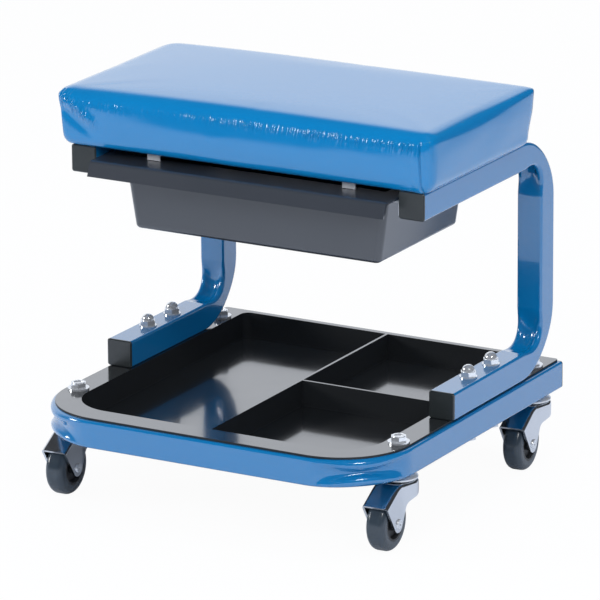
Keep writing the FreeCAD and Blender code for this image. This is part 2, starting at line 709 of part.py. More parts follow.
def fork_outside(place):
    """The pressed fork as a solid block, seen from the side and rounded along its top."""
    width = vec(2 * FORK_HEAD_RADIUS, 0, 0)

    def at(ahead, drop):
        return vec(place.x - FORK_HEAD_RADIUS, place.y - ahead, FORK_TOP - drop)

    axle = vec(place.x - FORK_HEAD_RADIUS, place.y - CASTER_TRAIL, WHEEL_RADIUS)
    hood_front = at(FORK_HOOD_REACH, FORK_HOOD_DROP)
    waist = at(FORK_WAIST_REACH, FORK_WAIST_DROP)
    front_touch = tangent_point(axle, FORK_AXLE_END_RADIUS, hood_front, 1)
    rear_touch = tangent_point(axle, FORK_AXLE_END_RADIUS, waist, -1)
    below = axle - UP * FORK_AXLE_END_RADIUS
    upper = [front_touch, hood_front, at(FORK_HOOD_START, 0), at(-FORK_HEAD_RADIUS, 0),
             at(-FORK_HEAD_RADIUS, FORK_SKIRT_DROP), waist, rear_touch]
    block = prism(upper, [0, 0, FORK_SHOULDER_RADIUS, 0, 0, FORK_WAIST_RADIUS, 0], width)
    foot_outline = Part.Wire([arc(front_touch, below, rear_touch), line(rear_touch, front_touch)])
    foot = Part.Face(foot_outline).extrude(width)
    whole = fuse([block, foot]).common(fork_plan(place, 0))
    return whole.makeFillet(FORK_EDGE_RADIUS, fork_top_edges(whole, place))


def fork_top_edges(shape, place):
    """The edges along the fork's top and hood, apart from the hood's open front."""
    found = []
    hood_low = FORK_TOP - FORK_HOOD_DROP
    for edge in shape.Edges:
        middle = edge.valueAt((edge.FirstParameter + edge.LastParameter) / 2)
        centred = abs(middle.x - place.x) < TOUCH and middle.y < place.y
        ahead = place.y - middle.y
        roof = FORK_TOP - max(0, ahead - FORK_HOOD_START) * HOOD_SLOPE
        high = middle.z > max(hood_low, roof - FORK_SHEET) - TOUCH
        if high and not centred and edge.Length > FORK_EDGE_RADIUS:
            found.append(edge)
    return found


def fork_hollow(place):
    """The room inside the fork: open below and in front."""

    def at(ahead, z):
        return vec(place.x - FORK_HEAD_RADIUS, place.y - ahead, z)

    roof = FORK_TOP - FORK_SHEET
    start = FORK_HOOD_START - FORK_SHEET * math.tan(HOOD_ANGLE / 2)
    far = FORK_HOOD_REACH + OVERRUN
    far_roof = roof - (far - start) * HOOD_SLOPE
    rear = -FORK_HEAD_RADIUS
    points = [at(rear, 0), at(rear, roof), at(start, roof), at(far, far_roof), at(far, 0)]
    radii = [0, 0, FORK_SHOULDER_RADIUS - FORK_SHEET, 0, 0]
    room = prism(points, radii, vec(2 * FORK_HEAD_RADIUS, 0, 0))
    return room.common(fork_plan(place, FORK_SHEET))


def caster_fork(place):
    axle_y = place.y - CASTER_TRAIL
    reach = RIGHT * (FORK_HALF_WIDTH + OVERRUN)
    axle = vec(place.x, axle_y, WHEEL_RADIUS)
    axle_hole = rod(AXLE_RADIUS + PRESS_CLEARANCE, axle - reach, axle + reach)
    pin_low = place + UP * (FORK_TOP - FORK_SHEET - OVERRUN)
    pin_hole = rod(KINGPIN_RADIUS + RUNNING_CLEARANCE, pin_low, place + UP * (FORK_TOP + OVERRUN))
    return fork_outside(place).cut([fork_hollow(place), axle_hole, pin_hole])


def caster_axle(place):
    """A rivet through the fork's cheeks, dimpled at both ends."""
    outer = FORK_HALF_WIDTH + AXLE_HEAD
    half = [
        (outer - AXLE_DIMPLE, 0),
        (outer, AXLE_DIMPLE_RADIUS),
        (outer, AXLE_HEAD_RADIUS - AXLE_HEAD / 2),
        (FORK_HALF_WIDTH, AXLE_HEAD_RADIUS),
        (FORK_HALF_WIDTH, AXLE_RADIUS),
    ]
    other = [(-along, out) for along, out in reversed(half)]
    centre = vec(place.x, place.y - CASTER_TRAIL, WHEEL_RADIUS)
    return revolve(half + other, centre, RIGHT, UP)


def caster_tyre(place):
    """A rounded solid tread on its rim."""
    half = WHEEL_WIDTH / 2
    centre = vec(place.x, place.y - CASTER_TRAIL, WHEEL_RADIUS)

    def at(along, out):
        return centre + RIGHT * along + UP * out

    left = [at(-half, TYRE_RIM_RADIUS), at(-half, WHEEL_RADIUS)]
    right = [at(half, WHEEL_RADIUS), at(half, TYRE_RIM_RADIUS)]
    profile = Part.Face(rounded_wire(left + right, [0, TYRE_SHOULDER, TYRE_SHOULDER, 0]))
    return profile.revolve(centre, RIGHT, math.degrees(math.tau))


def caster_hub(place):
    """Hub disc with a dished face on both sides and a long boss."""
    half = WHEEL_WIDTH / 2
    boss_half = half + FORK_CHEEK_GAP - HUB_GAP
    web_half = half - HUB_DISH
    rim = TYRE_RIM_RADIUS - PRESS_CLEARANCE
    bore = BUSH_RADIUS + PRESS_CLEARANCE
    rim_wall = rim - FORK_SHEET
    side = [
        (boss_half, bore),
        (boss_half, HUB_BOSS_RADIUS),
        (web_half, HUB_BOSS_RADIUS),
        (web_half, rim_wall - HUB_DISH / 2),
        (half, rim_wall),
        (half, rim),
    ]
    other = [(-along, out) for along, out in reversed(side)]
    return revolve(side + other, vec(place.x, place.y - CASTER_TRAIL, WHEEL_RADIUS), RIGHT, UP)


def caster_bush(place):
    half = WHEEL_WIDTH / 2 + FORK_CHEEK_GAP - HUB_GAP
    bore = AXLE_RADIUS + RUNNING_CLEARANCE
    profile = [(-half, bore), (-half, BUSH_RADIUS), (half, BUSH_RADIUS), (half, bore)]
    return revolve(profile, vec(place.x, place.y - CASTER_TRAIL, WHEEL_RADIUS), RIGHT, UP)


CASTER_PIECES = {
    "stem": caster_stem,
    "balls": caster_balls,
    "fork": caster_fork,
    "axle": caster_axle,
    "tyre": caster_tyre,
    "hub": caster_hub,
    "bush": caster_bush,
}


def casters():
    """Every caster piece by name, such as front_left_fork."""
    made = {}
    for end, y in CASTER_YS.items():
        for name, side in SIDES.items():
            place = vec(side * CASTER_X, y, 0)
            caster = end + "_" + name
            for piece, build in CASTER_PIECES.items():
                made[caster + "_" + piece] = build(place).rotated(place, UP, CASTER_TURNS_DEG[caster])
    return made


# Seat

# Each level of the cushion's sides: its share of the edge height and of the flare.
SEAT_SIDE_SHARES = ((0.0, 0.0), (0.5, 0.72), (1.3, 1.0))


def seat_form(skin):
    """The crowned cushion, a skin's thickness inside its cover."""
    low = LEG_TOP + skin
    wires = []
    for height_share, flare_share in SEAT_SIDE_SHARES:
        grow = SEAT_FLARE * flare_share - skin
        corner = SEAT_CORNER_RADIUS - skin
        z = low + SEAT_EDGE_HEIGHT * height_share
        wires.append(seat_outline(grow, corner, z))
    sides = Part.makeLoft(wires, True, False)
    block = sides.common(seat_crown(LEG_TOP + SEAT_EDGE_HEIGHT + SEAT_CROWN - skin))
    rounded = block.makeFillet(SEAT_EDGE_SOFTNESS - skin, seat_rim_edges(block))
    return rounded.makeFillet(SEAT_LOWER_RADIUS - skin, level_edges(rounded, low))


def seat_outline(grow, corner, z):
    """The seat's plan at its underside, grown all round."""
    return plan_outline(SEAT_HALF_WIDTH + grow, SEAT_FRONT - grow, SEAT_REAR + grow, corner, corner, z)


def seat_crown(top):
    """A barrel whose upper side is the cushion's crown, round both ways."""
    middle_y = (SEAT_FRONT + SEAT_REAR) / 2
    depth = (SEAT_REAR - middle_y) ** 2 / (2 * SEAT_CROSS_CROWN)
    reach = SEAT_HALF_WIDTH * SEAT_CROWN_REACH_SHARE
    drop = SEAT_CROWN * SEAT_CROWN_REACH_SHARE ** 2

    def at(x, z):
        return vec(x, middle_y, z)

    bottom = top - 2 * depth
    ends = (at(-reach, bottom + drop), at(reach, bottom + drop))
    axis = (at(-reach, top - depth), at(reach, top - depth))
    under = arc(ends[0], at(0, bottom), ends[1])
    profile = [under, line(ends[1], axis[1]), line(axis[1], axis[0]), line(axis[0], ends[0])]
    return Part.Face(Part.Wire(profile)).revolve(axis[0], RIGHT, math.degrees(math.tau))


def seat_rim_edges(block):
    """The edges where the cushion's sides meet its crown."""
    halfway = LEG_TOP + SEAT_EDGE_HEIGHT / 2
    return [edge for edge in block.Edges if min(vertex.Point.z for vertex in edge.Vertexes) > halfway]


def level_edges(shape, z):
    found = []
    for edge in shape.Edges:
        span = edge.BoundBox
        if abs(span.ZMax - z) < LEVEL_MARGIN and span.ZLength < LEVEL_MARGIN:
            found.append(edge)
    return found


def seat_board_block():
    outline = seat_outline(-COVER_THICKNESS - BOARD_INSET, SEAT_CORNER_RADIUS, BOARD_UNDERSIDE)
    return Part.Face(outline).extrude(UP * BOARD_THICKNESS)


def seat_screw_places():
    return [vec(side * LEG_X, y, 0) for side in SIDES.values() for y in SEAT_SCREW_YS]


def tee_nut(place, clearance, bored):
    """A tee nut let into the top of the board."""
    top = place + UP * (BOARD_UNDERSIDE + BOARD_THICKNESS)
    flange = rod(TEE_FLANGE_RADIUS + clearance, top - UP * TEE_FLANGE, top)
    barrel = rod(TEE_BARREL_RADIUS + clearance, top - UP * TEE_BARREL_LENGTH, top)
    whole = fuse([flange, barrel])
    if bored:
        thread = SEAT_SCREW_RADIUS + PRESS_CLEARANCE
        whole = whole.cut(rod(thread, top - UP * (TEE_BARREL_LENGTH + OVERRUN), top + UP * OVERRUN))
    return whole


def tee_nuts():
    return grouped([tee_nut(place, 0, True) for place in seat_screw_places()])


def stop_screw_places():
    y = STOP_Y + STOP_FOOT * STOP_SCREW_SHARE
    return [vec(side * STOP_X, y, 0) for side in SIDES.values()]


def board_holes():
    made = []
    for place in seat_screw_places():
        low = place + UP * (BOARD_UNDERSIDE - OVERRUN)
        high = place + UP * (BOARD_UNDERSIDE + BOARD_THICKNESS)
        made.append(rod(SEAT_SCREW_RADIUS + BOLT_CLEARANCE, low, high))
        made.append(tee_nut(place, PRESS_CLEARANCE, False))
    for place in stop_screw_places():
        low = place + UP * (LEG_TOP - OVERRUN)
        made.append(rod(STOP_SCREW_RADIUS + PRESS_CLEARANCE, low, place + UP * stop_screw_tip()))
    return made


def stop_screw_tip():
    return LEG_TOP - STOP_SHEET + STOP_SCREW_LENGTH


def seat_board():
    return seat_board_block().cut(board_holes())


def seat_foam():
    under = box(vec(-BASE_WIDTH, -BASE_DEPTH, 0), vec(BASE_WIDTH, BASE_DEPTH, BOARD_UNDERSIDE))
    return seat_form(COVER_THICKNESS).cut([under, seat_board_block()])


def seat_cover():
    """The vinyl cover: a skin over foam and board, turned under the board's edge."""
    opening = seat_outline(-COVER_THICKNESS - COVER_TURN_UNDER, SEAT_CORNER_RADIUS, LEG_TOP - OVERRUN)
    mouth = Part.Face(opening).extrude(UP * (OVERRUN + BOARD_THICKNESS))
    skin = seat_form(0).cut([seat_form(COVER_THICKNESS), mouth])
    return skin.cut(cover_holes())


def cover_holes():
    made = []
    for place in seat_screw_places():
        low = place + UP * (LEG_TOP - OVERRUN)
        made.append(rod(SEAT_SCREW_RADIUS + BOLT_CLEARANCE, low, place + UP * BOARD_UNDERSIDE))
    for place in stop_screw_places():
        low = place + UP * (LEG_TOP - OVERRUN)
        made.append(rod(STOP_SCREW_RADIUS + PRESS_CLEARANCE, low, place + UP * BOARD_UNDERSIDE))
    return made


def seat_screws():
    """Pan-head screws up through the arms into the tee nuts."""
    tip = BOARD_UNDERSIDE + BOARD_THICKNESS - TEE_FLANGE
    made = []
    for place in seat_screw_places():
        seat = place + UP * UPPER_ARM_UNDERSIDE
        head = rod(SEAT_SCREW_HEAD_RADIUS, seat - UP * SEAT_SCREW_HEAD, seat)
        made.append(fuse([head, rod(SEAT_SCREW_RADIUS, seat, place + UP * tip)]))
    return grouped(made)


# Drawer, rails and stops


def drawer_block(inset, low, high):
    """The drawer's tapered tub as a block, inset from its outer wall."""
    wires = []
    for z in (low, high):
        rise = z - DRAWER_FLOOR_Z
        wires.append(plan_outline(
            DRAWER_FLOOR_HALF_WIDTH + rise * SIDE_DRAFT - inset,
            DRAWER_FLOOR_FRONT - rise * END_DRAFT + inset,
            DRAWER_FLOOR_REAR + rise * END_DRAFT - inset,
            DRAWER_CORNER_RADIUS - inset,
            DRAWER_CORNER_RADIUS - inset,
            z))
    block = Part.makeLoft(wires, True, True)
    bottom = [edge for edge in block.Edges if edge.BoundBox.ZMax < low + TOUCH]
    return block.makeFillet(DRAWER_FLOOR_RADIUS - inset, bottom)


def rim_rear():
    return DRAWER_FLOOR_REAR + DRAWER_DEPTH * END_DRAFT + RIM_REAR_WIDTH


def drawer_rim():
    """The flat rim, folded down in front into the sloping lip."""

    def block(inset, overrun):
        top = DRAWER_RIM_Z - inset
        low = LIP_BOTTOM_Z - overrun
        front_top = LIP_TOP_Y + inset
        front_low = front_top - (top - low) * LIP_LEAN / LIP_DROP
        rear = rim_rear() + overrun
        half = RIM_HALF_WIDTH + overrun
        corners = ((front_top, top), (rear, top), (rear, low), (front_low, low))
        points = [vec(-half, y, z) for y, z in corners]
        return prism(points, [LIP_FOLD_RADIUS - inset, 0, 0, 0], RIGHT * (2 * half))

    return block(0, 0).cut(block(DRAWER_WALL, OVERRUN))


def drawer():
    floor = DRAWER_FLOOR_Z + DRAWER_WALL
    outer = drawer_block(0, DRAWER_FLOOR_Z, DRAWER_RIM_Z)
    room = drawer_block(DRAWER_WALL, floor, DRAWER_RIM_Z + OVERRUN)
    lugs = []
    lug_rear = rim_rear() - LUG_INSET
    for side in SIDES.values():
        low = vec(side * STOP_X - LUG_WIDTH / 2, lug_rear - LUG_THICKNESS, DRAWER_RIM_Z - DRAWER_WALL)
        lugs.append(box(low, vec(side * STOP_X + LUG_WIDTH / 2, lug_rear, DRAWER_RIM_Z + LUG_HEIGHT)))
    body = fuse([drawer_rim(), outer]).cut(room)
    return fuse([body] + lugs)


def rail_top():
    """Upper side of the ledge that the drawer's rim slides on."""
    return DRAWER_RIM_Z - DRAWER_WALL - RAIL_CLEARANCE


def right_rail():
    """An angle on the arm's inner face whose ledge carries the drawer's rim."""
    end = vec(LEG_INNER_X, RAIL_REAR, rail_top())
    ledge = box(vec(LEG_INNER_X - RAIL_LEDGE, RAIL_FRONT, rail_top() - RAIL_SHEET), end)
    web = box(vec(LEG_INNER_X - RAIL_SHEET, RAIL_FRONT, rail_top() - RAIL_HEIGHT), end)
    holes = []
    for y in rivet_ys():
        start = vec(LEG_INNER_X - RAIL_SHEET - OVERRUN, y, rivet_z())
        holes.append(rod(RIVET_RADIUS + PRESS_CLEARANCE, start, vec(LEG_INNER_X + OVERRUN, y, rivet_z())))
    return fuse([ledge, web]).cut(holes)


def rail_rivets():
    inner = LEG_INNER_X - RAIL_SHEET
    blind = LEG_INNER_X + TUBE_WALL
    made = []
    for y in rivet_ys():
        centre = vec(inner, y, rivet_z())
        head = rod(RIVET_HEAD_RADIUS, centre - RIGHT * RIVET_HEAD, centre)
        tail_start = vec(blind, y, rivet_z())
        shank = rod(RIVET_RADIUS, centre, tail_start)
        tail = rod(RIVET_TAIL_RADIUS, tail_start, tail_start + RIGHT * RIVET_TAIL_RADIUS)
        made.append(fuse([head, shank, tail]))
    return grouped(made + [mirrored(shape) for shape in made])


def drawer_stop(place_x):
    """A bent steel tab: a foot under the seat and a leg hanging to just above the drawer's rim."""
    low = DRAWER_RIM_Z + STOP_CLEARANCE
    left = place_x - STOP_WIDTH / 2

    def at(y, z):
        return vec(left, y, z)

    inner = STOP_Y + STOP_SHEET
    under = LEG_TOP - STOP_SHEET
    end = STOP_Y + STOP_FOOT
    outside = [at(STOP_Y, low), at(STOP_Y, LEG_TOP), at(end, LEG_TOP)]
    inside = [at(end, under), at(inner, under), at(inner, low)]
    radii = [0, STOP_BEND_RADIUS, 0, 0, STOP_BEND_RADIUS - STOP_SHEET, 0]
    return prism(outside + inside, radii, RIGHT * STOP_WIDTH)


def drawer_stops():
    tabs = [drawer_stop(side * STOP_X) for side in SIDES.values()]
    holes = []
    for place in stop_screw_places():
        low = place + UP * (LEG_TOP - OVERRUN)
        holes.append(rod(STOP_SCREW_RADIUS + PRESS_CLEARANCE, low, place + UP * LEG_TOP))
    return grouped([tab.cut(holes) for tab in tabs])


def stop_screws():
    made = []
    for place in stop_screw_places():
        seat = place + UP * (LEG_TOP - STOP_SHEET)
        head = rod(STOP_SCREW_HEAD_RADIUS, seat - UP * STOP_SCREW_HEAD, seat)
        made.append(fuse([head, rod(STOP_SCREW_RADIUS, seat, place + UP * stop_screw_tip())]))
    return grouped(made)


def pieces():
    """Every piece of the seat by name."""
    leg = right_leg()
    rail = right_rail()
    made = {
        "base_frame": base_frame(),
        "tray": tray(),
        "right_leg": leg,
        "left_leg": mirrored(leg),
        "leg_bolts": leg_bolts(),
        "leg_washers": leg_washers(),
        "dome_nuts": dome_nuts(),
        "caster_washers": caster_washers(),
        "caster_nuts": caster_nuts(),
        "seat_board": seat_board(),
        "seat_foam": seat_foam(),
        "seat_cover": seat_cover(),
        "seat_screws": seat_screws(),
        "tee_nuts": tee_nuts(),
        "drawer": drawer(),
        "right_rail": rail,
        "left_rail": mirrored(rail),
        "rail_rivets": rail_rivets(),
        "drawer_stops": drawer_stops(),
        "stop_screws": stop_screws(),
    }
    made.update(caps())
    made.update(casters())
    return made


os.makedirs("parts", exist_ok=True)
for node, shape in pieces().items():
    shape.exportStep("parts/" + node + ".step")
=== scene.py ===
import json
import math

import bmesh
import bpy
from mathutils import Matrix, Vector, noise


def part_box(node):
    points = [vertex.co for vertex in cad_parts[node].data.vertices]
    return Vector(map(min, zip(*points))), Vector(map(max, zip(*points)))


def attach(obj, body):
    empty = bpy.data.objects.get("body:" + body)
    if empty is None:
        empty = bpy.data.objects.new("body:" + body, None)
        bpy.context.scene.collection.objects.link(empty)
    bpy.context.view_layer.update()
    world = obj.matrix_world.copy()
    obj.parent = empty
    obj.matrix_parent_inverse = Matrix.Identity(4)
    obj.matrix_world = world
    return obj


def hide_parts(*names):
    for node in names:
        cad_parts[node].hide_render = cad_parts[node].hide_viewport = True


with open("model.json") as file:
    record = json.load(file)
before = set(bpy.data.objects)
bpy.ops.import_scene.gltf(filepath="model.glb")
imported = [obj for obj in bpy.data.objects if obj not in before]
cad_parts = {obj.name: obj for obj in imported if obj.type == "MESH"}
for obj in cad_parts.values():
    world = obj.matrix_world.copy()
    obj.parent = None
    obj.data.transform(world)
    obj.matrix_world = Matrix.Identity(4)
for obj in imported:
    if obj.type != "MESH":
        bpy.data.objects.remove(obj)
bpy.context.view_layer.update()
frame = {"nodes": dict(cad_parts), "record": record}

# A rolling workshop seat: paint, plastics, plating and the padded seat on the fixed frame.
# Metres, +Z up, the drawer opens towards -Y.

nodes = frame["nodes"]

# Camera, as the photograph was taken
VIEW_AZIMUTH_DEG = 29.54
VIEW_ELEVATION_DEG = 16.46
VIEW_ROLL_DEG = -0.40
VIEW_DISTANCE = 4.9825
VIEW_TARGET = Vector((0.0097, 0.0, 0.1878))
VIEW_REACH = 50.0
FOCAL_PIXELS = 5591.71
AIM_OFFSET_PIXELS = (-4.08, -19.59)
PICTURE_PIXELS = 600
SENSOR_MM = 36.0


class Value:
    """One socket of a finish; arithmetic with it adds Math nodes."""

    def __init__(self, finish, socket):
        self.finish = finish
        self.socket = socket

    def math(self, operation, first, second):
        return self.finish.node("ShaderNodeMath", {"operation": operation}, {0: first, 1: second})

    def __add__(self, other):
        return self.math("ADD", self, other)

    def __sub__(self, other):
        return self.math("SUBTRACT", self, other)

    def __rsub__(self, other):
        return self.math("SUBTRACT", other, self)

    def __mul__(self, other):
        return self.math("MULTIPLY", self, other)

    __radd__ = __add__
    __rmul__ = __mul__


class Finish:
    """A procedural material, or the world, built node by node on its own coordinates."""

    def __init__(self, material, coordinates="Object", ending="ShaderNodeOutputMaterial"):
        self.material = material
        self.material.use_nodes = True
        self.ending = ending
        self.tree = self.material.node_tree
        self.tree.nodes.clear()
        self.place = self.node("ShaderNodeTexCoord", output=coordinates)

    def node(self, kind, settings=None, values=None, output=0):
        made = self.tree.nodes.new(kind)
        for key, value in (settings or {}).items():
            if key == "stops":
                self.set_stops(made.color_ramp, value)
            else:
                setattr(made, key, value)
        for key, value in (values or {}).items():
            if isinstance(value, Value):
                self.tree.links.new(value.socket, made.inputs[key])
            else:
                made.inputs[key].default_value = value
        return Value(self, made.outputs[output]) if made.outputs else None

    def set_stops(self, ramp, stops):
        for element, (position, level) in zip(ramp.elements, stops):
            element.position = position
            element.color = colour(level, level, level)

    def stretched(self, scale):
        return self.node("ShaderNodeMapping", {}, {"Vector": self.place, "Scale": scale})

    def noise(self, scale, detail=2.0, roughness=0.5, place=None, distortion=0.0):
        return self.node("ShaderNodeTexNoise", {}, {
            "Vector": place or self.place, "Scale": scale, "Detail": detail,
            "Roughness": roughness, "Distortion": distortion})

    def cells(self, scale):
        return self.node("ShaderNodeTexVoronoi", {"feature": "DISTANCE_TO_EDGE"}, {
            "Vector": self.place, "Scale": scale})

    def ramp(self, value, start, stop):
        return self.node("ShaderNodeValToRGB", {"stops": (start, stop)}, {"Fac": value})

    def mix(self, share, first, second):
        return self.node("ShaderNodeMix", {"data_type": "RGBA"}, {0: share, 6: first, 7: second}, 2)

    def bump(self, height, distance, strength=1.0):
        return self.node("ShaderNodeBump", {}, {"Height": height, "Distance": distance, "Strength": strength})

    def smooth_range(self, value, start, stop):
        return self.node("ShaderNodeMapRange", {"interpolation_type": "SMOOTHSTEP"}, {
            "Value": value, "From Min": start, "From Max": stop})

    def split(self, vector, axis):
        return self.node("ShaderNodeSeparateXYZ", {}, {0: vector}, axis)

    def along(self, axis, start, stop):
        """0 before start and 1 after stop, along one axis of the finish's own coordinates."""
        return self.smooth_range(self.split(self.place, axis), start, stop)

    def surface(self, **values):
        sockets = {key.replace("_", " "): value for key, value in values.items()}
        self.close(self.node("ShaderNodeBsdfPrincipled", {}, sockets))
        return self.material

    def close(self, shader):
        self.node(self.ending, {}, {"Surface": shader})


def finish_named(name):
    return Finish(bpy.data.materials.new(name))


def colour(red, green, blue):
    return (red, green, blue, 1.0)


# Each finish drifts between a darker and a lighter colour.
PAINT_BLUES = colour(0.0, 0.152, 0.380), colour(0.0, 0.172, 0.415)
TRAY_BLACK, TRAY_DUST = colour(0.013, 0.015, 0.017), colour(0.05, 0.05, 0.052)
DRAWER_GREYS = colour(0.030, 0.036, 0.046), colour(0.040, 0.046, 0.057)
CAP_BLACKS = colour(0.014, 0.018, 0.019), colour(0.024, 0.030, 0.031)
VINYL_BLUES = colour(0.0, 0.182, 0.440), colour(0.0, 0.202, 0.475)
TREAD_GREYS = colour(0.025, 0.037, 0.050), colour(0.037, 0.053, 0.068)
HUB_BLACKS = colour(0.010, 0.011, 0.012), colour(0.022, 0.024, 0.026)
FOAM_YELLOWS = colour(0.55, 0.50, 0.33), colour(0.80, 0.76, 0.58)
BOARD_BROWNS = colour(0.30, 0.19, 0.095), colour(0.58, 0.42, 0.25)
DULL_PLATING = 0.86            # share of the tint where the plating is dullest


def frame_paint():
    """Gloss blue powder coat with a faint orange peel."""
    finish = finish_named("frame_paint")
    drift = finish.noise(9.0, 3.0)
    peel = finish.noise(420.0, 2.0)
    rough = finish.noise(60.0, 2.0) * 0.06 + 0.16
    return finish.surface(Base_Color=finish.mix(drift, *PAINT_BLUES), Roughness=rough,
                          Normal=finish.bump(peel, 0.00003),
                          Coat_Weight=1.0, Coat_Roughness=0.04, Coat_IOR=1.65)


def tray_plastic():
    """Gloss black sheet, a little wavy from moulding; its drawn walls are duller than its flats."""
    finish = finish_named("tray_plastic")
    wave = finish.noise(14.0, 2.0)
    dust = finish.ramp(finish.noise(900.0, 1.0), (0.62, 0.0), (0.74, 1.0))
    base = finish.mix(dust * 0.10, TRAY_BLACK, TRAY_DUST)
    upward = finish.split(finish.node("ShaderNodeNewGeometry", output="Normal"), "Z")
    flat = finish.smooth_range(upward, 0.45, 0.80)
    rough = finish.noise(30.0, 3.0) * 0.08 + 0.12 + (1 - flat) * 0.30
    return finish.surface(Base_Color=base, Roughness=rough, Normal=finish.bump(wave, 0.0005),
                          Coat_Weight=flat, Coat_Roughness=0.08, Coat_IOR=1.6)


def drawer_plastic():
    """Satin dark grey moulding with a fine grain."""
    finish = finish_named("drawer_plastic")
    grain = finish.noise(1600.0, 2.0)
    cloud = finish.noise(18.0, 3.0)
    return finish.surface(Base_Color=finish.mix(cloud, *DRAWER_GREYS), Roughness=cloud * 0.06 + 0.28,
                          Normal=finish.bump(grain, 0.00004), Coat_Weight=1.0, Coat_Roughness=0.22)


def cap_plastic():
    """Black polyethylene, slightly bluish and satin."""
    finish = finish_named("cap_plastic")
    grain = finish.noise(900.0, 2.0)
    cloud = finish.noise(60.0, 2.0)
    return finish.surface(Base_Color=finish.mix(cloud, *CAP_BLACKS), Roughness=grain * 0.1 + 0.34,
                          Normal=finish.bump(grain, 0.00003), Coat_Weight=0.5, Coat_Roughness=0.30)


def vinyl():
    """Gloss blue upholstery vinyl with a fine pore."""
    finish = finish_named("vinyl")
    pores = finish.cells(1100.0)
    cloud = finish.noise(26.0, 3.0)
    return finish.surface(Base_Color=finish.mix(cloud, *VINYL_BLUES), Roughness=cloud * 0.06 + 0.15,
                          Normal=finish.bump(pores, 0.00004, 0.5), Coat_Weight=0.8, Coat_Roughness=0.10)


def plating(name, tint, roughs, brushed, metallic=1.0):
    """Plated steel between two roughnesses; brushed is how fine its drawing lines are."""
    finish = finish_named(name)
    lines = finish.noise(brushed, 3.0, place=finish.stretched((1.0, 1.0, 0.15)))
    cloud = finish.noise(70.0, 2.0)
    base = finish.mix(cloud * 0.5, colour(*tint), colour(*(share * DULL_PLATING for share in tint)))
    rough = cloud * (roughs[1] - roughs[0]) + roughs[0]
    return finish.surface(Base_Color=base, Metallic=metallic, Roughness=rough,
                          Normal=finish.bump(lines, 0.00001))


def tread():
    """Smooth grey wheel rubber."""
    finish = finish_named("tread")
    cloud = finish.noise(120.0, 3.0)
    grain = finish.noise(1500.0, 2.0)
    return finish.surface(Base_Color=finish.mix(cloud, *TREAD_GREYS), Roughness=cloud * 0.10 + 0.20,
                          Normal=finish.bump(grain, 0.00002), IOR=1.6)


def hub_plastic():
    """Dull black wheel centre."""
    finish = finish_named("hub_plastic")
    cloud = finish.noise(150.0, 2.0)
    return finish.surface(Base_Color=finish.mix(cloud, *HUB_BLACKS), Roughness=cloud * 0.15 + 0.35)


def foam():
    """Open-celled yellow padding."""
    finish = finish_named("foam")
    pores = finish.cells(500.0)
    return finish.surface(Base_Color=finish.mix(pores, *FOAM_YELLOWS), Roughness=pores * 0.1 + 0.85,
                          Normal=finish.bump(pores, 0.0005))


def board():
    """Plywood with a drawn-out grain."""
    finish = finish_named("board")
    grain = finish.noise(24.0, 5.0, 0.6, finish.stretched((0.6, 14.0, 14.0)), 0.4)
    return finish.surface(Base_Color=finish.mix(grain, *BOARD_BROWNS), Roughness=grain * 0.15 + 0.6,
                          Normal=finish.bump(grain, 0.0002))


FINISHES = {
    "frame_paint": frame_paint(),
    "tray_plastic": tray_plastic(),
    "drawer_plastic": drawer_plastic(),
    "cap_plastic": cap_plastic(),
    "vinyl": vinyl(),
    "foam": foam(),
    "board": board(),
    "zinc": plating("zinc", (0.76, 0.78, 0.80), (0.22, 0.36), 500.0, 0.65),
    "nut_steel": plating("nut_steel", (0.88, 0.90, 0.92), (0.12, 0.20), 500.0, 0.72),
    "stop_steel": plating("stop_steel", (0.88, 0.89, 0.90), (0.30, 0.42), 500.0, 0.3),
    "chrome": plating("chrome", (0.68, 0.70, 0.73), (0.13, 0.24), 300.0),
    "tread": tread(),
    "hub_plastic": hub_plastic(),
}
OWN_FINISH = {
    "drawer_stops": "stop_steel",
    "dome_nuts": "nut_steel",
    "caster_nuts": "nut_steel",
    "caster_washers": "nut_steel",
    "leg_washers": "nut_steel",
}


def dress_nodes():
    """Give each fixed piece its own finish, or that of its slot."""
    for row in frame["record"]["subparts"]:
        finish = OWN_FINISH.get(row["node"], row["material_slot"])
        for place in nodes[row["node"]].material_slots:
            place.material = FINISHES[finish]


# The padded seat. Depths are measured down from its front top edge.

SEAT_LOW, SEAT_HIGH = (Vector(corner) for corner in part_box("seat_cover"))
SEAT_HEIGHT = SEAT_HIGH.z - SEAT_LOW.z
SEAT_END_DROPS = (0.0030, 0.0006)      # left and right end below the middle of the top
SEAT_LIFT = 0.0013             # the padding stands this much over its frame
SEAT_FLARE = 0.0045            # how far the top edge stands out over the foot
SEAT_FOOT = 0.0020             # height of the foot, where the cover tucks in under the board
SEAT_TUCK = 0.0024             # how far it tucks in there
SEAT_BULGE = 0.0020            # how far the sides stand out at their middle
SEAT_GRID = 0.0045             # width of the mesh's squares
CORNER_RADII = {(-1, -1): 0.004, (1, -1): 0.006, (-1, 1): 0.016, (1, 1): 0.003}        # by sides in x and y
LEFT_EDGE, RIGHT_EDGE, FRONT_EDGE, REAR_EDGE = (0, -1), (0, 1), (1, -1), (1, 1)        # axis and side
EDGE_RADII = {LEFT_EDGE: 0.006, RIGHT_EDGE: 0.009, FRONT_EDGE: 0.015, REAR_EDGE: 0.005}
RIGHT_EDGE_TIGHTENING = 0.6    # share of its radius that the right edge loses to the rear
RIGHT_EDGE_TIGHTENS = (-0.02, 0.09)    # from and to, along y

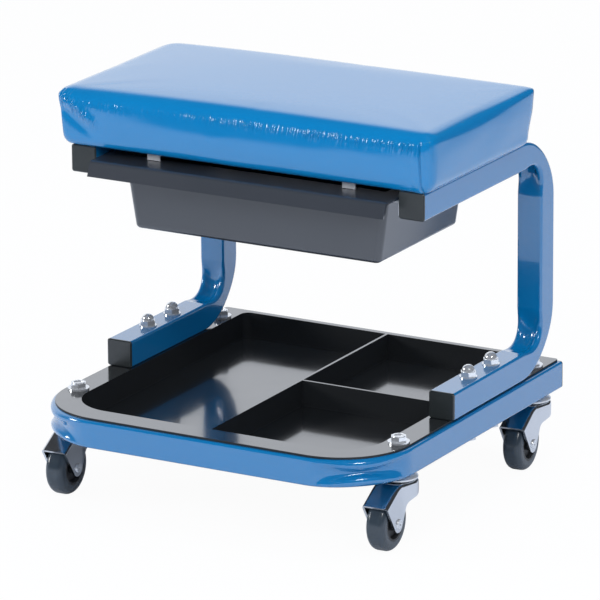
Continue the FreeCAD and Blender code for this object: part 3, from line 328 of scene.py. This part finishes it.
TOP_SWELL = 0.0014             # how far the padding swells; the block starts that much smaller
SIDE_SWELL = 0.0012
CLOTH_FRAMES = 20
CLOTH_SETTINGS = {
    "quality": 6, "mass": 0.3,
    "tension_stiffness": 18, "compression_stiffness": 18, "bending_stiffness": 2.0,
    "use_pressure": True, "uniform_pressure_force": 4.0,
}
FOOT_HOLD_HEIGHT = 0.006
CORNER_HOLD = 0.85
CORNER_HOLD_REACH = 0.012

GATHER_HEIGHT = 0.0015
GATHER_DEPTH = 0.0125          # of the middle of their band
GATHER_WANDER = 0.0015         # how far the band strays from that
GATHER_BAND = 0.0040           # its half width
GATHER_LEFT_SHARE = 0.32       # of their height, towards the left
GATHER_GROWTH = (-0.08, 0.03)  # from that share to the whole, along x
GATHER_END = (0.172, 0.184)

PLEAT_HEIGHT = 0.0017
PLEAT_ENDS = ((-0.188, 0.002), (-0.148, 0.031))        # x and depth
PLEAT_WIDTH = 0.0048
PLEAT_COMB = 1.1               # teeth along its ridge, as a share of its height
PLEAT_TROUGH = 0.6             # the same for the trough beside it
PLEAT_TROUGH_AWAY = 0.0095
PLEAT_TROUGH_WIDTH = 0.0050
PLEAT_START, PLEAT_END = (-0.15, 0.10), (0.75, 1.15)   # fades, as shares of its length
PLEAT_CORNER_FADE = (0.001, 0.010)

SEAM_INSETS = (0.0125, 0.0083)         # from the front right corner, at the seat's top and foot
SEAM_DEPTH = 0.0015
SEAM_WIDTH = 0.0007
SEAM_START = (0.004, 0.010)
HEM_HEIGHT = 0.0006
HEM_RISE, HEM_FALL = (-0.0005, 0.0006), (0.002, 0.010)

SLACK_DEPTH = 0.0016
SLACK_START, SLACK_END = (0.006, 0.022), (0.040, 0.050)

TOP_EDGE_REACH = 0.014         # behind the front, where the top edge's height is looked up
PLEAT_ZONE_WIDTH, PLEAT_ZONE_DEPTH = 0.060, 0.050      # finer mesh from the front left corner
SEAM_ZONE_WIDTH = 0.024        # and from the front right one
GATHER_ZONE = (0.004, 0.022)   # and between them, from and to these depths
ZONE_CUTS = 4
FRONT_NORMAL = -0.4            # faces that look forwards more than this get the finer mesh
TAILORED_NORMAL = -0.3         # and points that do get the front's folds
TOP_NORMAL = 0.5               # points that look up more than this stay free of slack


def start_edit(piece):
    bpy.ops.object.select_all(action="DESELECT")
    bpy.context.view_layer.objects.active = piece
    piece.select_set(True)
    bpy.ops.object.mode_set(mode="EDIT")
    bpy.ops.mesh.select_all(action="DESELECT")


def select_faces(piece, test):
    bpy.ops.mesh.select_all(action="DESELECT")
    mesh = bmesh.from_edit_mesh(piece.data)
    for face in mesh.faces:
        if test(face.calc_center_median(), face.normal):
            face.select_set(True)
    bmesh.update_edit_mesh(piece.data)


def slice_all(start, stop, normal):
    """Cut the whole mesh by planes a grid apart."""
    count = max(2, round((stop - start) / SEAT_GRID))
    for step in range(1, count):
        along = start + (stop - start) * step / count
        bpy.ops.mesh.select_all(action="SELECT")
        bpy.ops.mesh.bisect(plane_co=normal * along, plane_no=normal)


def rise(value, start, stop):
    """0 before start, 1 after stop and a smooth step between."""
    share = min(max((value - start) / (stop - start), 0.0), 1.0)
    return share * share * (3 - 2 * share)


def ridge(distance, width):
    """1 on the line of a ridge, falling off to its sides."""
    return math.exp(-(distance / width) ** 2)


def wobble(*place):
    """Smooth noise between about -1 and 1."""
    return noise.noise(Vector(place))


def rounded(first, second):
    """Draw a point of a square corner, given from the round's centre, in to the round."""
    if first <= 0 or second <= 0:
        return first, second
    share = max(first, second) / math.hypot(first, second)
    return first * share, second * share


def round_edges(place, low, high, inset):
    """Roll the top over to the sides, each edge with its own radius; the right one tightens to the rear."""
    for (axis, side), radius in EDGE_RADII.items():
        if (axis, side) == RIGHT_EDGE:
            radius *= 1 - RIGHT_EDGE_TIGHTENING * rise(place.y, *RIGHT_EDGE_TIGHTENS)
        centre = (high[axis] if side > 0 else low[axis]) - side * (inset + radius)
        out, up = rounded((place[axis] - centre) * side, place.z - (high.z - radius))
        place[axis] = centre + side * out
        place.z = high.z - radius + up


def round_corners(place, low, high, inset):
    """Round the plan's corners; each corner of a sewn cover differs."""
    for (side_x, side_y), radius in CORNER_RADII.items():
        centre_x = (high.x if side_x > 0 else low.x) - side_x * (inset + radius)
        centre_y = (high.y if side_y > 0 else low.y) - side_y * (inset + radius)
        out_x, out_y = rounded((place.x - centre_x) * side_x, (place.y - centre_y) * side_y)
        place.x = centre_x + side_x * out_x
        place.y = centre_y + side_y * out_y


def cushion_block():
    """The seat's block: leaning sides, cut into a fine grid, with rounded edges and corners."""
    low = SEAT_LOW + Vector((SIDE_SWELL, SIDE_SWELL, 0)) / 2
    high = SEAT_HIGH - Vector((SIDE_SWELL / 2, SIDE_SWELL / 2, TOP_SWELL - SEAT_LIFT))
    middle = (low + high) / 2
    bpy.ops.object.select_all(action="DESELECT")
    bpy.ops.mesh.primitive_cube_add(size=1, location=middle)
    piece = bpy.context.object
    piece.name = "seat_cushion"
    piece.scale = high - low
    bpy.ops.object.transform_apply(location=True, rotation=False, scale=True)
    start_edit(piece)
    slice_all(low.x + SEAT_FLARE, high.x - SEAT_FLARE, Vector((1, 0, 0)))
    slice_all(low.y + SEAT_FLARE, high.y - SEAT_FLARE, Vector((0, 1, 0)))
    slice_all(low.z + SEAT_FOOT, high.z, Vector((0, 0, 1)))
    bpy.ops.object.mode_set(mode="OBJECT")
    for vertex in piece.data.vertices:
        height = (vertex.co.z - low.z) / (high.z - low.z)
        tuck = SEAT_TUCK * max(0.0, 1 - (vertex.co.z - low.z) / SEAT_FOOT)
        inset = SEAT_FLARE * (1 - height) + tuck
        shares = [(vertex.co[axis] - middle[axis]) / (high[axis] - middle[axis]) for axis in (0, 1)]
        for axis in (0, 1):
            vertex.co[axis] -= inset * shares[axis]
        round_edges(vertex.co, low, high, inset)
        round_corners(vertex.co, low, high, inset)
        for axis in (0, 1):
            bulge = SEAT_BULGE * math.sin(math.pi * height) * (1 - shares[1 - axis] ** 4)
            vertex.co[axis] += bulge * shares[axis]
        vertex.co.z -= SEAT_END_DROPS[vertex.co.x > 0] * height * (vertex.co.x / high.x) ** 2
    return piece


def at_corner(place):
    """Whether a point is on one of the seat's four upright corners."""
    inside = [min(place[axis] - SEAT_LOW[axis], SEAT_HIGH[axis] - place[axis]) for axis in (0, 1)]
    return max(inside) < CORNER_HOLD_REACH


def swell(piece):
    """Blow the cover up over its padding, held at the foot and corners, and scale that to its limits."""
    rest = [vertex.co.copy() for vertex in piece.data.vertices]
    facing_up = [max(vertex.normal.z, 0.0) for vertex in piece.data.vertices]
    held = piece.vertex_groups.new(name="held")
    foot = [index for index, place in enumerate(rest) if place.z < SEAT_LOW.z + FOOT_HOLD_HEIGHT]
    corners = [index for index, place in enumerate(rest) if at_corner(place)]
    held.add(foot, 1.0, "REPLACE")
    held.add(corners, CORNER_HOLD, "REPLACE")
    cloth = piece.modifiers.new("swell", "CLOTH")
    for key, value in CLOTH_SETTINGS.items():
        setattr(cloth.settings, key, value)
    cloth.settings.vertex_group_mass = held.name
    cloth.settings.effector_weights.gravity = 0
    scene = bpy.context.scene
    for step in range(1, CLOTH_FRAMES + 1):
        scene.frame_set(step)
    bpy.context.view_layer.objects.active = piece
    bpy.ops.object.modifier_apply(modifier="swell")
    scene.frame_set(1)
    moves = [vertex.co - start for vertex, start in zip(piece.data.vertices, rest)]
    top_scale = TOP_SWELL / max(move.length for move, share in zip(moves, facing_up) if share > 0.9)
    side_scale = SIDE_SWELL / max(move.length for move, share in zip(moves, facing_up) if share < 0.1)
    for vertex, start, move, share in zip(piece.data.vertices, rest, moves, facing_up):
        vertex.co = start + move * (top_scale * share + side_scale * (1 - share))


def gathers(x, depth):
    """Fine upright puckers that the stretched cover shows a little under its front edge."""
    centre = GATHER_DEPTH + GATHER_WANDER * wobble(x * 40.0, 8.0, 0.0)
    band = ridge(depth - centre, GATHER_BAND)
    growth = GATHER_LEFT_SHARE + (1 - GATHER_LEFT_SHARE) * rise(x, *GATHER_GROWTH)
    reach = growth * (1 - rise(x, *GATHER_END))
    patchy = 0.80 + 0.5 * wobble(x * 60.0, 5.0, 0.0)
    ripple = 1 - abs(wobble(x * 560.0 + depth * 90.0, 3.0, depth * 30.0))
    return GATHER_HEIGHT * band * reach * patchy * (ripple ** 3 - 0.5)


def pleat(x, depth):
    """The tucked fold that runs down from the front left corner, with fine teeth along its ridge."""
    start, end = PLEAT_ENDS
    along_x, along_z = end[0] - start[0], end[1] - start[1]
    length = math.hypot(along_x, along_z)
    share = ((x - start[0]) * along_x + (depth - start[1]) * along_z) / length ** 2
    off = ((depth - start[1]) * along_x - (x - start[0]) * along_z) / length
    fade = rise(share, *PLEAT_START) * (1 - rise(share, *PLEAT_END))
    fade *= rise(x - SEAT_LOW.x, *PLEAT_CORNER_FADE)
    comb = 1 + PLEAT_COMB * wobble(x * 620.0 + depth * 150.0, depth * 70.0, 1.0)
    trough = PLEAT_TROUGH * ridge(off - PLEAT_TROUGH_AWAY, PLEAT_TROUGH_WIDTH)
    return PLEAT_HEIGHT * fade * (ridge(off, PLEAT_WIDTH) * comb - trough)


def sewn_edge(from_corner, depth):
    """The turned and sewn edge beside the front right corner: a groove with a raised hem."""
    inset = SEAM_INSETS[0] + (SEAM_INSETS[1] - SEAM_INSETS[0]) * depth / SEAT_HEIGHT
    off = from_corner - inset
    hem = rise(off, *HEM_RISE) * (1 - rise(off, *HEM_FALL))
    return rise(depth, *SEAM_START) * (HEM_HEIGHT * hem - SEAM_DEPTH * ridge(off, SEAM_WIDTH))


def slack(place, depth):
    """Wide soft dents where the cover is less tight."""
    wave = wobble(place.x * 17.0 + place.z * 12.0, place.y * 17.0, place.z * 20.0)
    return SLACK_DEPTH * wave * rise(depth, *SLACK_START) * (1 - rise(depth, *SLACK_END))


def tailor(piece):
    """Work the cover's gathers, pleat, sewn edge and dents into the mesh."""
    edges = {}
    for vertex in piece.data.vertices:
        if vertex.co.y < SEAT_LOW.y + TOP_EDGE_REACH:
            column = round(vertex.co.x / SEAT_GRID)
            edges[column] = max(edges.get(column, 0), vertex.co.z)
    pleat_end, seam_start = SEAT_LOW.x + PLEAT_ZONE_WIDTH, SEAT_HIGH.x - SEAM_ZONE_WIDTH

    def depth_of(place):
        return edges.get(round(place.x / SEAT_GRID), SEAT_HIGH.z) - place.z

    def by_corner(middle, normal):
        by_pleat = middle.x < pleat_end and depth_of(middle) < PLEAT_ZONE_DEPTH
        return normal.y < FRONT_NORMAL and (by_pleat or middle.x > seam_start)

    def in_gathers(middle, normal):
        between = pleat_end < middle.x < seam_start
        return normal.y < FRONT_NORMAL and between and GATHER_ZONE[0] < depth_of(middle) < GATHER_ZONE[1]

    start_edit(piece)
    for zone in (by_corner, in_gathers):
        select_faces(piece, zone)
        bpy.ops.mesh.subdivide(number_cuts=ZONE_CUTS)
    bpy.ops.object.mode_set(mode="OBJECT")
    moves = []
    for vertex in piece.data.vertices:
        place, depth = vertex.co, depth_of(vertex.co)
        move = slack(place, depth) if vertex.normal.z < TOP_NORMAL else 0.0
        if vertex.normal.y < TAILORED_NORMAL:
            corner_x = SEAT_HIGH.x - SEAT_FLARE * depth / SEAT_HEIGHT
            move += gathers(place.x, depth) + pleat(place.x, depth) + sewn_edge(corner_x - place.x, depth)
        moves.append(vertex.normal * move)
    for vertex, move in zip(piece.data.vertices, moves):
        vertex.co += move


def cushion():
    """The padded seat in its sewn cover, in place of the plain cover and foam."""
    piece = cushion_block()
    swell(piece)
    smooth = piece.modifiers.new("smooth", "SUBSURF")
    smooth.levels = 1
    smooth.render_levels = 1
    bpy.ops.object.select_all(action="DESELECT")
    bpy.context.view_layer.objects.active = piece
    piece.select_set(True)
    bpy.ops.object.modifier_apply(modifier="smooth")
    tailor(piece)
    bpy.ops.object.shade_smooth()
    piece.data.materials.append(FINISHES["vinyl"])
    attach(piece, "frame")
    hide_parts("seat_cover", "seat_foam")


# Studio

SEEN_RAYS = ("Is Camera Ray", "Is Glossy Ray")
WHITE = colour(1, 1, 1)
COOL_WHITE = colour(0.95, 0.99, 1.06)
FILL_TINT = colour(0.88, 0.96, 1.18)
FILL_LEVEL = 0.42
MIRRORED_DARK, MIRRORED_SWEEP = 0.05, 0.95     # dark studio, and what the white sweep adds to it
FLOOR_SIZE = 14
FLOOR_TONES = colour(0.84, 0.88, 0.93), colour(0.86, 0.90, 0.95)
FLOOR_WHITE_SHARE = 0.96       # the rest of what the camera sees is the floor's shadow
FLOOR_LIT_REACH = (1.55, 0.95)         # how far off reflections still find the lit floor
FLOOR_LIT_FURTHER = 0.9        # and how much further behind on the right
SEAT_AIM, BASE_AIM = (0, 0, 0.3), (0, 0, 0.2)
LAMPS = (      # name, place, aim, width and height, watts, seen in reflections
    ("top_box", (0.3, 0.3, 2.4), BASE_AIM, (1.4, 1.4), 14, False),
    ("right_box", (2.4, -0.6, 1.2), BASE_AIM, (1.4, 1.6), 8, False),
    ("back_box", (-0.5, 2.8, 1.6), BASE_AIM, (1.6, 1.0), 14, False),
    ("key_box", (1.7, -1.2, 1.6), BASE_AIM, (0.5, 0.35), 11, True),
    ("side_box", (-2.2, -1.2, 0.9), SEAT_AIM, (0.55, 0.55), 20, True),
    ("front_box", (0.2, -2.5, 1.8), BASE_AIM, (1.6, 1.0), 28, False),
)


def studio_floor():
    """Pale matt floor, nearly white to the camera; reflections find it lit near by and dark far off."""
    bpy.ops.object.select_all(action="DESELECT")
    bpy.ops.mesh.primitive_plane_add(size=FLOOR_SIZE)
    floor = bpy.context.object
    floor.name = "studio_floor"
    finish = finish_named("studio_floor")
    tone = finish.mix(finish.noise(3.0, 2.0), *FLOOR_TONES)
    matt = finish.node("ShaderNodeBsdfDiffuse", {}, {"Color": tone})
    camera_rays, glossy_rays = (finish.node("ShaderNodeLightPath", output=kind) for kind in SEEN_RAYS)
    away = finish.node("ShaderNodeVectorMath", {"operation": "LENGTH"}, {0: finish.place}, "Value")
    behind_left = finish.along("X", 0.10, -0.30) * finish.along("Y", 0.10, 0.50)
    behind_right = finish.along("X", 0.0, 0.5) * finish.along("Y", 0.2, 0.8)
    lit = finish.smooth_range(away - behind_right * FLOOR_LIT_FURTHER, *FLOOR_LIT_REACH)
    level = camera_rays + glossy_rays * (behind_left * MIRRORED_SWEEP + MIRRORED_DARK)
    white = finish.node("ShaderNodeEmission", {}, {"Color": WHITE, "Strength": level})
    share = camera_rays * FLOOR_WHITE_SHARE + glossy_rays * (1 - lit * (1 - behind_left))
    finish.close(finish.node("ShaderNodeMixShader", {}, {0: share, 1: matt, 2: white}))
    floor.data.materials.append(finish.material)


def studio_world():
    """White all round for the camera; in reflections a white sweep behind on the left, dark elsewhere."""
    world = bpy.data.worlds.new("studio")
    bpy.context.scene.world = world
    studio = Finish(world, "Generated", "ShaderNodeOutputWorld")
    camera_rays, glossy_rays = (studio.node("ShaderNodeLightPath", output=kind) for kind in SEEN_RAYS)
    sweep = studio.along("Y", -0.20, 0.35) * studio.along("X", 0.02, -0.25) * studio.along("Z", 0.85, 0.55)
    mirrored = sweep * MIRRORED_SWEEP + MIRRORED_DARK
    fill = (1 - camera_rays) * (1 - glossy_rays) * FILL_LEVEL
    level = camera_rays + glossy_rays * mirrored + fill
    tint = studio.mix(camera_rays, studio.mix(glossy_rays, FILL_TINT, COOL_WHITE), WHITE)
    studio.close(studio.node("ShaderNodeBackground", {}, {"Color": tint, "Strength": level}))


def softbox(name, place, aim, size, power, mirrored):
    light = bpy.data.lights.new(name, "AREA")
    light.shape = "RECTANGLE"
    light.size, light.size_y = size
    light.energy = power
    lamp = bpy.data.objects.new(name, light)
    bpy.context.collection.objects.link(lamp)
    lamp.location = place
    lamp.visible_glossy = mirrored
    lamp.rotation_mode = "QUATERNION"
    lamp.rotation_quaternion = (Vector(aim) - Vector(place)).to_track_quat("-Z", "Y")


def camera():
    """The photograph's camera: round the target, rolled, and aimed a little beside it."""
    azimuth = math.radians(VIEW_AZIMUTH_DEG)
    elevation = math.radians(VIEW_ELEVATION_DEG)
    level = math.cos(elevation)
    back = Vector((math.sin(azimuth) * level, -math.cos(azimuth) * level, math.sin(elevation)))
    right = (-back).cross(Vector((0, 0, 1))).normalized()
    up = right.cross(-back)
    turn = math.radians(VIEW_ROLL_DEG)
    right, up = right * math.cos(turn) + up * math.sin(turn), up * math.cos(turn) - right * math.sin(turn)
    ahead = -back + (right * AIM_OFFSET_PIXELS[0] + up * AIM_OFFSET_PIXELS[1]) / FOCAL_PIXELS
    ahead.normalize()
    right = ahead.cross(up).normalized()
    up = right.cross(ahead)
    lens = bpy.data.cameras.new("camera")
    lens.sensor_width = SENSOR_MM
    lens.lens = FOCAL_PIXELS * SENSOR_MM / PICTURE_PIXELS
    lens.clip_end = VIEW_REACH
    holder = bpy.data.objects.new("camera", lens)
    bpy.context.collection.objects.link(holder)
    turned = Matrix((right, up, -ahead)).transposed().to_4x4()
    holder.matrix_world = Matrix.Translation(VIEW_TARGET + back * VIEW_DISTANCE) @ turned
    bpy.context.scene.camera = holder


dress_nodes()
cushion()
studio_floor()
studio_world()
for lamp_row in LAMPS:
    softbox(*lamp_row)
camera()
bpy.context.scene.view_settings.view_transform = "Standard"
